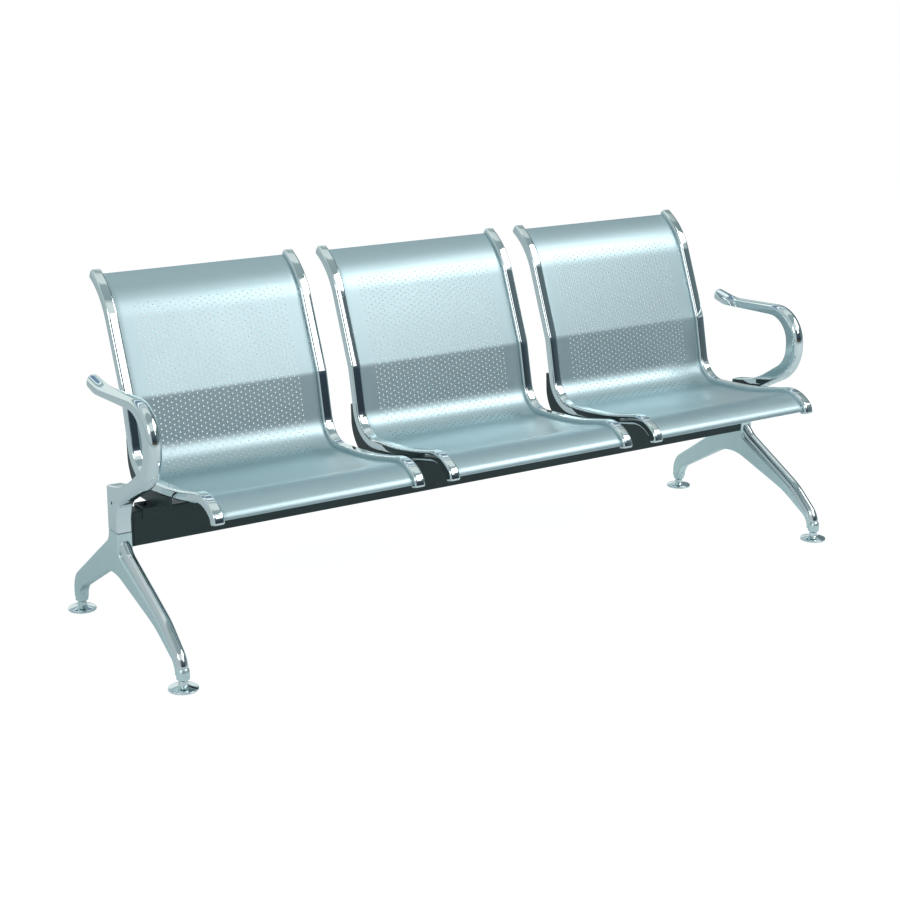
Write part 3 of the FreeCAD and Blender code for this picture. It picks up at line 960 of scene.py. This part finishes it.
@dataclass(frozen=True)
class Screw:
    """A screw: where its head sits, which way it faces, and (radius, length) of shank and head."""

    seat: Vector
    out: Vector
    shank: tuple[float, float]
    head: tuple[float, float]
    socket: float = 0.0
    form: HeadForm = HeadForm.BUTTON

    def add(self, bm: bmesh.types.BMesh) -> None:
        """Add the screw to a mesh."""
        made = self.hexagon(bm) if self.form is HeadForm.HEXAGON else self.button(bm)
        turn = Z_AXIS.rotation_difference(self.out).to_matrix().to_4x4()
        bmesh.ops.transform(bm, matrix=Matrix.Translation(self.seat) @ turn, verts=made)

    def cylinder(self, bm: bmesh.types.BMesh, sides: int, radii: tuple[float, float],
                 low: float, high: float) -> list[bmesh.types.BMVert]:
        """A closed cylinder or cone between two heights."""
        made = bmesh.ops.create_cone(bm, cap_ends=True, segments=sides, radius1=radii[0],
                                     radius2=radii[1], depth=high - low)["verts"]
        bmesh.ops.translate(bm, vec=Z_AXIS * (low + high) / 2, verts=made)
        return made

    def top_face(self, verts: Sequence[bmesh.types.BMVert]) -> bmesh.types.BMFace:
        """The uppermost of the faces at some vertices."""
        faces = {face for vert in verts for face in vert.link_faces}
        return max(faces, key=lambda face: face.calc_center_median().z)

    def button(self, bm: bmesh.types.BMesh) -> list[bmesh.types.BMVert]:
        """A shank that widens to a low dome with a hexagon socket in it."""
        before = set(bm.verts)
        radius, height = self.head
        shank = self.cylinder(bm, 18, (self.shank[0], self.shank[0]), -self.shank[1], 0.0)
        face = self.top_face(shank)
        for wide, rise in ((radius, 0.0), (radius, height * 0.45), (radius * 0.86, height * 0.40),
                           (radius * 0.62, height * 0.15)):
            face = self.step(bm, face, wide, rise)
        socket = self.socket or radius * 0.42
        face = self.step(bm, face, socket * 1.12, 0.0)
        face = self.step(bm, face, socket, 0.0)
        for vert in face.verts:
            turn = math.atan2(vert.co.y, vert.co.x)
            sixth = (turn + math.pi / 6) % (math.pi / 3) - math.pi / 6
            flat = socket * 0.95 / math.cos(sixth)
            vert.co.xy = Vector((math.cos(turn), math.sin(turn))) * flat
        self.step(bm, face, 0.0, -max(height * 0.6, 1.0 * MM))
        return [vert for vert in bm.verts if vert not in before]

    def step(self, bm: bmesh.types.BMesh, face: bmesh.types.BMFace, radius: float,
             rise: float) -> bmesh.types.BMFace:
        """Draw a face up into the next ring of a turned shape; radius 0 keeps its width."""
        made = bmesh.ops.extrude_discrete_faces(bm, faces=[face])["faces"][0]
        for vert in made.verts:
            if radius:
                vert.co.xy = vert.co.xy.normalized() * radius
            vert.co.z += rise
        return made

    def hexagon(self, bm: bmesh.types.BMesh) -> list[bmesh.types.BMVert]:
        """A washer, a chamfered hexagon head and a shank."""
        before = set(bm.verts)
        radius, height = self.head
        washer = 1.2 * MM
        self.cylinder(bm, 24, (radius * 1.25, radius * 1.22), 0.0, washer)
        head = self.cylinder(bm, 6, (radius, radius), washer * 0.9, height)
        top = self.top_face(head)
        bmesh.ops.bevel(bm, geom=list(top.verts), offset=0.8 * MM, affect="VERTICES", segments=1,
                        profile=0.5, material=-1)
        self.cylinder(bm, 18, (self.shank[0] * 0.94, self.shank[0]), -self.shank[1], washer * 0.5)
        return [vert for vert in bm.verts if vert not in before]


@dataclass
class SeatFasteners:
    """The bolts and screws of one seat."""

    seat: str
    centre: float
    bracket_offset: float = 243 * MM
    sheet_half: float = 228 * MM
    rail_under: float = 20 * MM
    sheet_depth: float = 8 * MM
    saddle_top: float = 313 * MM
    bolt_spread: float = 20 * MM
    screw_side: float = 6.5 * MM
    shares: tuple[float, float] = (0.45, 0.39)

    def build(self) -> list[Piece]:
        """Build every kind of fastener as one piece."""
        return [
            self.piece("saddle_bolts", "hexagon_bolts", Finishes.DARK_STEEL, self.saddle_bolts()),
            self.piece("rail_screws", "button_screws", Finishes.DARK_STEEL, self.rail_screws()),
            self.piece("sheet_screws", "side_screws", Finishes.ZINC, self.sheet_screws())]

    def piece(self, node: str, name: str, finish: Finish, screws: Sequence[Screw]) -> Piece:
        """One piece from some screws, in place of a CAD node."""
        bm = bmesh.new()
        for screw in screws:
            screw.add(bm)
        made = finished(bm, f"{self.seat}_{name}", finish, "frame", 30)
        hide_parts(f"{self.seat}_{node}")
        return made

    def on_line(self, straight: int, share: float) -> tuple[Vector, Vector]:
        """A (y, z) point part of the way along a straight of the seat line, and the way below."""
        start, stop = (Vector(corner[:2]) * MM for corner in SEAT_LINE[straight:straight + 2])
        ahead = (stop - start).normalized()
        return start + (stop - start) * share, Vector((ahead.y, -ahead.x))

    def saddle_bolts(self) -> list[Screw]:
        """Two hexagon bolts in each saddle."""
        return [Screw(across_beam(Vector((0, self.saddle_top)),
                                  self.centre + hand.value * self.bracket_offset
                                  + side * self.bolt_spread),
                      Z_AXIS, (4 * MM, 22 * MM), (6.5 * MM, 5.5 * MM), form=HeadForm.HEXAGON)
                for hand in Hand for side in (-1, 1)]

    def rail_screws(self) -> list[Screw]:
        """Four screws up through each bracket's flange."""
        screws = []
        for straight, share in enumerate(self.shares, start=PAN):
            at, below = self.on_line(straight, share)
            for hand in Hand:
                for side in (-1, 1):
                    x = self.centre + hand.value * self.bracket_offset + side * self.screw_side
                    seat = across_beam(at + below * self.rail_under, x)
                    screws.append(Screw(seat, Vector((0, *below)), (2 * MM, 12 * MM),
                                        (3.4 * MM, 3 * MM)))
        return screws

    def sheet_screws(self) -> list[Screw]:
        """Three screws from each folded side of the sheet into its rail."""
        screws = []
        for straight in range(PAN, PAN + 3):
            at, below = self.on_line(straight, 0.5)
            for hand in Hand:
                seat = across_beam(at + below * self.sheet_depth,
                                   self.centre + hand.value * self.sheet_half)
                screws.append(Screw(seat, -X_AXIS * hand.value, (1.5 * MM, 8 * MM),
                                    (3 * MM, 1.5 * MM)))
        return screws


@dataclass
class BlackSteelwork:
    """The folded and welded black parts between seats and beam, with their edges broken."""

    seat: str
    edge_round: float = 0.9 * MM
    fold_round: float = 2.2 * MM
    rounding_steps: int = 2

    def build(self) -> list[Piece]:
        """Both brackets and both saddles."""
        made = []
        for hand in Hand:
            made.append(self.rounded_copy(f"bracket_{hand.label}", "welded", self.edge_round))
            made.append(self.rounded_copy(f"saddle_{hand.label}", "folded", self.fold_round))
        return made

    def rounded_copy(self, part: str, word: str, radius: float) -> Piece:
        """A merged copy of a CAD node, with its sharp edges rounded off."""
        node = f"{self.seat}_{part}"
        bm = bmesh.new()
        bm.from_mesh(frame["nodes"][node].data)
        bmesh.ops.remove_doubles(bm, verts=bm.verts[:], dist=1e-6)
        bmesh.ops.dissolve_limit(bm, angle_limit=math.radians(1.5), verts=bm.verts[:],
                                 edges=bm.edges[:])
        longest = 6 * radius
        corners = [edge for edge in bm.edges if len(edge.link_faces) == 2
                   and edge.calc_face_angle() > math.radians(40) and edge.calc_length() > longest]
        bmesh.ops.bevel(bm, geom=corners, offset=radius, affect="EDGES",
                        segments=self.rounding_steps, profile=0.5, material=-1, clamp_overlap=True)
        piece = finished(bm, f"{node}_{word}", Finishes.BLACK, "frame", 30)
        keep_flats(piece)
        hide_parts(node)
        return piece


LEG_OUTLINE: tuple[Corner, ...] = (
    (-28, 265, 0), (22, 265, 0), (22, 243, 35), (251, 83, 60), (251, 30, 0), (225, 30, 0),
    (225, 58, 40), (24, 176, 130), (-190, 106, 250), (-286, 52, 36), (-286, 30, 0),
    (-298, 30, 0), (-298, 58, 50), (-219, 122.5, 184), (-28, 214, 20), (-28, 265, 0))
RIB_LINE: tuple[Corner, ...] = (
    (-22, 236, 0), (-48, 213, 60), (-224, 123, 190), (-300, 60, 57), (-300, 24.5, 0))


@dataclass
class Leg:
    """A cast leg: satin web, polished rib along its front leg, a round boss above each foot."""

    hand: Hand
    centre: float
    head_half: float = 18 * MM
    toe_half: float = 13.5 * MM
    widening: tuple[float, float] = (92 * MM, 226 * MM)
    edge_round: float = 5 * MM
    joint_chamfer: float = 1 * MM
    slice_height: float = 10 * MM
    rib_radius: float = 13 * MM
    rib_stop: float = 26 * MM
    rib_facets: int = 32

    def build(self) -> list[Piece]:
        """The web with its bosses, and the rib."""
        node = f"leg_{self.hand.label}"
        bm = self.web()
        for end in End:
            turned(((0, 51, 0), (11, 50, 6), (14.5, 42, 6), (14.5, 24.5, 1), (5.05, 24.5, 0),
                    (5.05, 44, 0), (0, 44, 0)),
                   across_beam(Vector((end.value, 0)), self.centre), 48, bm)
        web = finished(bm, f"{node}_casting", Finishes.LEG, "frame", 40)
        keep_flats(web)
        rib = finished(sweep(self.rib_rings()), f"{node}_rib", Finishes.RIB, "frame", 60)
        for piece in (web, rib):
            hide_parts(node)
        return [web, rib]

    def half_width(self, height: float) -> float:
        """Half of the casting's width at a height."""
        return self.toe_half + (self.head_half - self.toe_half) * ease(height, *self.widening)

    def web(self) -> bmesh.types.BMesh:
        """Push the outline out, round its long edges and narrow it towards the feet."""
        line = BentLine(LEG_OUTLINE)
        half = self.head_half
        bm = bmesh.new()
        runs = line.runs(math.radians(5), 1.0)[:-1]
        verts = [bm.verts.new(across_beam(line.at(run)[0], -half)) for run in runs]
        face = bm.faces.new(verts)
        made = bmesh.ops.extrude_face_region(bm, geom=[face])["geom"]
        out = [item for item in made if isinstance(item, bmesh.types.BMVert)]
        bmesh.ops.translate(bm, vec=X_AXIS * 2 * half, verts=out)
        top = max(vert.co.z for vert in bm.verts)
        low = min(vert.co.z for vert in bm.verts)
        long_edges = [edge for edge in bm.edges
                      if abs(edge.verts[0].co.x - edge.verts[1].co.x) < half
                      and min(vert.co.z for vert in edge.verts) < top - 0.1 * MM]
        ends = [edge for edge in bm.edges if abs(edge.verts[0].co.x - edge.verts[1].co.x) > half
                and edge.verts[0].co.z < low + 0.1 * MM]
        bmesh.ops.bevel(bm, geom=long_edges + ends, offset=self.edge_round, affect="EDGES",
                        segments=4, profile=0.5, material=-1, clamp_overlap=False)
        rim = [edge for edge in bm.edges
               if all(vert.co.z > top - 0.01 * MM for vert in edge.verts)]
        bmesh.ops.bevel(bm, geom=rim, offset=self.joint_chamfer, affect="EDGES", segments=2,
                        profile=0.5, material=-1)
        height = low + self.slice_height
        while height < top - self.slice_height / 2:
            geom = bm.verts[:] + bm.edges[:] + bm.faces[:]
            bmesh.ops.bisect_plane(bm, geom=geom, dist=1e-5, plane_co=Z_AXIS * height,
                                   plane_no=Z_AXIS)
            height += self.slice_height
        for vert in bm.verts:
            vert.co.x = self.centre + vert.co.x * self.half_width(vert.co.z) / half
        return bm

    def rib_rings(self) -> list[list[Vector]]:
        """Rings along the rib, closed by a round start and a flatter round end."""
        line = BentLine(RIB_LINE)
        turns = [math.radians(turn) for turn in (84, 72, 58, 44, 30, 15)]
        rings = [self.rib_ring(line, -self.rib_radius * math.sin(turn), math.cos(turn))
                 for turn in turns]
        stop = line.length - self.rib_stop
        rings += [self.rib_ring(line, run, 1.0) for run in line.runs(math.radians(3), 8 * MM)
                  if run < stop]
        rings += [self.rib_ring(line, stop + 0.5 * self.rib_radius * math.sin(turn),
                                math.cos(turn)) for turn in reversed(turns)]
        return rings

    def rib_ring(self, line: BentLine, run: float, scale: float) -> list[Vector]:
        """A circle round the rib's centre line."""
        radius = self.rib_radius * scale
        turns = [math.tau * step / self.rib_facets for step in range(self.rib_facets)]
        return [line.place(run, radius * math.sin(turn), self.centre + radius * math.cos(turn))
                for turn in turns]


@dataclass
class Foot:
    """A levelling foot: chromed cup, threaded stud with its flange, and plastic glide."""

    hand: Hand
    end: End
    pitch: float = 1.5 * MM
    thread_radius: float = 5.0 * MM
    thread_depth: float = 0.65 * MM
    thread_facets: int = 20
    stud_low: float = 3.3 * MM
    stud_high: float = 52 * MM

    def __post_init__(self) -> None:
        """Find the foot's place."""
        self.tag = f"{self.end.label}_{self.hand.label}"
        low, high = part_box(f"foot_disc_{self.tag}")
        self.place = Vector(((low.x + high.x) / 2, (low.y + high.y) / 2, 0))

    def build(self) -> list[Piece]:
        """Cup and glide stand on the floor, and the stud turns in the leg."""
        return [self.cup(), self.stud(), self.glide()]

    def cup(self) -> Piece:
        """A round rim, a shallow dome and a collar, turned hollow."""
        outline = (
            (5.05, 5.7, 0), (5.05, 21.5, 0.4), (10, 21.5, 1), (10, 11.3, 2.5), (16.5, 9.5, 8),
            (31.2, 6.1, 6), (32.5, 5.2, 0.9), (32.5, 1, 0.9), (28.5, 1, 0), (28.5, 3, 0),
            (8.3, 3, 0), (8.3, 5.7, 0), (5.05, 5.7, 0))
        bm = turned(outline, self.place, 72)
        piece = finished(bm, f"foot_disc_{self.tag}_cup", Finishes.FOOT, f"foot_{self.tag}", 50)
        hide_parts(f"foot_disc_{self.tag}")
        return piece

    def glide(self) -> Piece:
        """A plastic glide with a broken edge and a shallow ring in its face."""
        outline = ((0, 0.5, 0), (19, 0.5, 0.3), (20, 0, 0.3), (27.3, 0, 1), (28.5, 1, 0.4),
                   (28.5, 3, 0), (0, 3, 0))
        bm = turned(outline, self.place, 64)
        piece = finished(bm, f"foot_pad_{self.tag}_glide", Finishes.PAD, f"foot_{self.tag}", 40)
        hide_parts(f"foot_pad_{self.tag}")
        return piece

    def stud(self) -> Piece:
        """Spin one ridge up the stud as a real thread, and cut both its ends flat."""
        bm = bmesh.new()
        base = self.stud_low - self.pitch
        root = self.thread_radius - self.thread_depth
        ridge = ((self.thread_radius, 0.0), (root, self.pitch / 2),
                 (self.thread_radius, self.pitch))
        verts = [bm.verts.new((radius, 0, base + rise)) for radius, rise in ridge]
        edges = [bm.edges.new(pair) for pair in zip(verts, verts[1:])]
        rounds = math.ceil((self.stud_high - base) / self.pitch)
        bmesh.ops.spin(bm, geom=verts + edges, cent=(0, 0, 0), axis=Z_AXIS,
                       dvec=(0, 0, self.pitch / self.thread_facets), angle=math.tau * rounds,
                       steps=self.thread_facets * rounds, use_merge=False)
        bmesh.ops.remove_doubles(bm, verts=bm.verts[:], dist=0.02 * MM)
        for height, way in ((self.stud_low, -1), (self.stud_high, 1)):
            geom = bm.verts[:] + bm.edges[:] + bm.faces[:]
            bmesh.ops.bisect_plane(bm, geom=geom, dist=1e-7, plane_co=Z_AXIS * height,
                                   plane_no=Z_AXIS * way, clear_outer=True)
        bmesh.ops.holes_fill(bm, edges=[edge for edge in bm.edges if edge.is_boundary], sides=0)
        moved(bm, self.place)
        turned(((0, 3.3, 0), (8, 3.3, 0.4), (8, 5.3, 0.4), (0, 5.3, 0)), self.place, 40, bm)
        piece = finished(bm, f"foot_stud_{self.tag}_thread", Finishes.ZINC,
                         f"foot_screw_{self.tag}", 30)
        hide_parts(f"foot_stud_{self.tag}")
        return piece


def dress_frame() -> None:
    """Give every CAD node the finish of its slot."""
    by_slot = Finishes.by_slot()
    for part in frame["record"]["subparts"]:
        mesh = frame["nodes"][part["node"]].data
        mesh.materials.clear()
        mesh.materials.append(by_slot[part["material_slot"]].material())


@dataclass
class Seat:
    """One seat: sheet, rails, black steelwork and fasteners."""

    name: str
    centre: float
    width: float = 512 * MM
    rail_width: float = 26 * MM

    def build(self) -> list[Piece]:
        """Build the seat's parts."""
        made = SeatSheet(self.name, self.centre).build()
        for hand in Hand:
            offset = hand.value * (self.width - self.rail_width) / 2
            made += Rail(f"{self.name}_rail_{hand.label}", self.centre + offset).build()
        made += BlackSteelwork(self.name).build()
        made += SeatFasteners(self.name, self.centre).build()
        return made


@dataclass
class EndFrame:
    """One end of the row: leg, armrest and two feet."""

    hand: Hand
    offset: float = 898 * MM

    def build(self) -> list[Piece]:
        """Build the end's parts."""
        centre = self.hand.value * self.offset
        made = Leg(self.hand, centre).build() + Armrest(self.hand, centre).build()
        for end in End:
            made += Foot(self.hand, end).build()
        return made


@dataclass(frozen=True)
class SoftBox:
    """A square lamp: which way it lies from the seats, how far, how large and how bright."""

    name: str
    toward: tuple[float, float, float]
    distance: float
    size: tuple[float, float]
    radiance: float

    def build(self, aim: Vector) -> None:
        """Hang the lamp and turn it to the seats."""
        data = bpy.data.lights.new(self.name, "AREA")
        data.shape, data.size, data.size_y = "RECTANGLE", *self.size
        data.energy = self.radiance * math.pi * self.size[0] * self.size[1]
        lamp = bpy.data.objects.new(self.name, data)
        bpy.context.scene.collection.objects.link(lamp)
        away = Vector(self.toward).normalized()
        turn = away.to_track_quat("Z", "Y").to_matrix().to_4x4()
        lamp.matrix_world = Matrix.Translation(aim + away * self.distance) @ turn


LAMPS = (SoftBox("key_box", (0.58, -0.47, 0.68), 6.0, (3.0, 2.2), 4.2),
         SoftBox("window_box", (0.25, -0.80, 0.53), 5.0, (2.2, 1.6), 1.9),
         SoftBox("side_box", (-0.77, -0.33, 0.35), 5.0, (0.9, 1.3), 5.0))


@dataclass
class Studio:
    """Camera, floor, lamps and the surround that metal mirrors."""

    azimuth: float = -0.5859
    elevation: float = 0.2897
    roll: float = 0.0105
    place: tuple[float, float, float] = (-2.4143, -3.5488, 1.5932)
    lens: float = 74.29
    floor_size: float = 60.0
    floor_grey: float = 0.82
    floor_glow: float = 0.92
    floor_shine: float = 0.22
    shadow_share: float = 0.45
    shine_colour: Colour = (0.72, 1.0, 1.06, 1)
    ambient: float = 0.25
    ambient_colour: Colour = (0.88, 1.0, 1.03, 1)
    side_start: float = 0.54
    side_sharpness: float = 5.0
    middle_sharpness: float = 20.0
    left_side: Colour = (0.56 * 0.84, 0.56, 0.56 * 1.02, 1)
    right_side: Colour = (0.56 * 0.26, 0.56 * 0.36, 0.56 * 0.38, 1)
    aim: tuple[float, float, float] = (0.0, 0.0, 0.5)

    def camera(self) -> None:
        """Set up the camera at the photograph's place."""
        data = bpy.data.cameras.new("camera")
        data.lens, data.sensor_width = self.lens, 36.0
        camera = bpy.data.objects.new("camera", data)
        bpy.context.scene.collection.objects.link(camera)
        level = math.cos(self.elevation)
        back = Vector((math.sin(self.azimuth) * level, -math.cos(self.azimuth) * level,
                       math.sin(self.elevation)))
        right = (-back).cross(Z_AXIS).normalized()
        up = right.cross(-back)
        tilted = math.cos(self.roll) * right + math.sin(self.roll) * up
        top = -math.sin(self.roll) * right + math.cos(self.roll) * up
        turn = Matrix((tilted, top, back)).transposed().to_4x4()
        camera.matrix_world = Matrix.Translation(Vector(self.place)) @ turn
        bpy.context.scene.camera = camera

    def floor(self) -> None:
        """A pale floor that reads as white to the camera but keeps the shadows."""
        bm = bmesh.new()
        bmesh.ops.create_grid(bm, x_segments=1, y_segments=1, size=self.floor_size / 2)
        mesh = bpy.data.meshes.new("floor")
        bm.to_mesh(mesh)
        bm.free()
        floor = bpy.data.objects.new("floor", mesh)
        bpy.context.scene.collection.objects.link(floor)
        material = bpy.data.materials.new("floor")
        material.use_nodes = True
        graph = Graph(material.node_tree)
        rays = graph.node("ShaderNodeLightPath")
        seen, mirrored = graph.signal(rays, "Is Camera Ray"), graph.signal(rays, "Is Glossy Ray")
        grey, soft = self.floor_grey, self.floor_grey * self.shadow_share
        matt = graph.made("ShaderNodeBsdfDiffuse", Color=(grey, grey, grey, 1))
        faint = graph.made("ShaderNodeBsdfDiffuse", Color=(soft, soft, soft, 1))
        glow = graph.made("ShaderNodeEmission", Color=(1, 1, 1, 1), Strength=self.floor_glow)
        lit = graph.made("ShaderNodeAddShader", in0=faint, in1=glow)
        shine = graph.made("ShaderNodeEmission", Color=self.shine_colour,
                           Strength=self.floor_shine)
        sheen = graph.made("ShaderNodeAddShader", in0=matt, in1=shine)
        unseen = graph.made("ShaderNodeMixShader", in0=mirrored, in1=matt, in2=sheen)
        both = graph.made("ShaderNodeMixShader", in0=seen, in1=unseen, in2=lit)
        graph.node("ShaderNodeOutputMaterial", Surface=both)
        mesh.materials.append(material)

    def surround(self) -> None:
        """White to the camera, even to matt surfaces, and a studio of dim and bright to metal."""
        world = bpy.data.worlds.new("surround")
        world.use_nodes = True
        graph = Graph(world.node_tree)
        rays = graph.node("ShaderNodeLightPath")
        seen = graph.signal(rays, "Is Camera Ray")
        mirrored = graph.maths("MAXIMUM", graph.signal(rays, "Is Glossy Ray"),
                               graph.signal(rays, "Is Transmission Ray"))
        direction = graph.node("ShaderNodeSeparateXYZ",
                               Vector=graph.signal(graph.node("ShaderNodeTexCoord"), "Generated"))
        along, back, up = (graph.signal(direction, axis) for axis in "XYZ")
        over = graph.maths("ARCTAN2", up, 0 - back) / math.pi
        ramp = {"stops": self.room_stops()}
        room = graph.made("ShaderNodeValToRGB", ramp, in0=over)
        outwards = graph.maths("ABSOLUTE", along, 0.0)
        to_side = ((outwards - self.side_start) * self.side_sharpness).clamped()
        to_right = (along * self.middle_sharpness).clamped()
        side = graph.blend(to_right, self.left_side, self.right_side)
        sided = graph.blend(to_side, room, side)
        studio = graph.made("ShaderNodeBackground", Color=sided, Strength=1.0)
        even = graph.made("ShaderNodeBackground", Color=self.ambient_colour, Strength=self.ambient)
        white = graph.made("ShaderNodeBackground", Color=(1, 1, 1, 1), Strength=1.0)
        unseen = graph.made("ShaderNodeMixShader", in0=mirrored, in1=even, in2=studio)
        result = graph.made("ShaderNodeMixShader", in0=seen, in1=unseen, in2=white)
        graph.node("ShaderNodeOutputWorld", Surface=result)
        bpy.context.scene.world = world

    def room_stops(self) -> list[Stop]:
        """Colours of the room from its front horizon, overhead, to its back horizon."""
        slate, blue = (0.74, 1.0, 1.14), (0.60, 0.95, 1.4)
        grey, pale = (0.78, 1.0, 1.03), (0.9, 1, 1)
        bands = ((0, 0.10, (1.3, 1.0, 0.75)), (7, 0.04, slate), (13, 0.06, blue),
                 (22, 0.10, slate), (34, 0.15, slate), (37, 0.80, pale), (54, 0.80, pale),
                 (60, 0.36, grey), (84, 0.40, grey), (88, 0.80, pale), (104, 0.75, pale),
                 (108, 0.34, grey), (112, 1.0, pale), (115, 0.24, blue),
                 (125, 1.2, pale), (128, 0.25, slate), (138, 0.30, blue), (140, 1.3, pale),
                 (143, 0.36, grey), (150, 0.50, grey), (154, 0.88, pale), (180, 0.85, pale))
        return [(degrees / 180, tuple(value * part for part in tint))
                for degrees, value, tint in bands]

    def build(self) -> None:
        """Everything round the seating."""
        self.camera()
        self.floor()
        self.surround()
        for lamp in LAMPS:
            lamp.build(Vector(self.aim))
        bpy.context.scene.view_settings.view_transform = "Standard"


def main() -> None:
    """Build the studio and every piece, in order."""
    logging.basicConfig(level=logging.INFO, format="%(name)s: %(message)s")
    Studio().build()
    dress_frame()
    parts: list[Seat | EndFrame] = []
    for name in SEATS:
        low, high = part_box(f"{name}_sheet")
        parts.append(Seat(name, (low.x + high.x) / 2))
    parts += [EndFrame(hand) for hand in Hand]
    for part in parts:
        for piece in part.build():
            LOG.info("%s: %d faces", piece.name, len(piece.data.polygons))


if __name__ == "__main__":
    main()
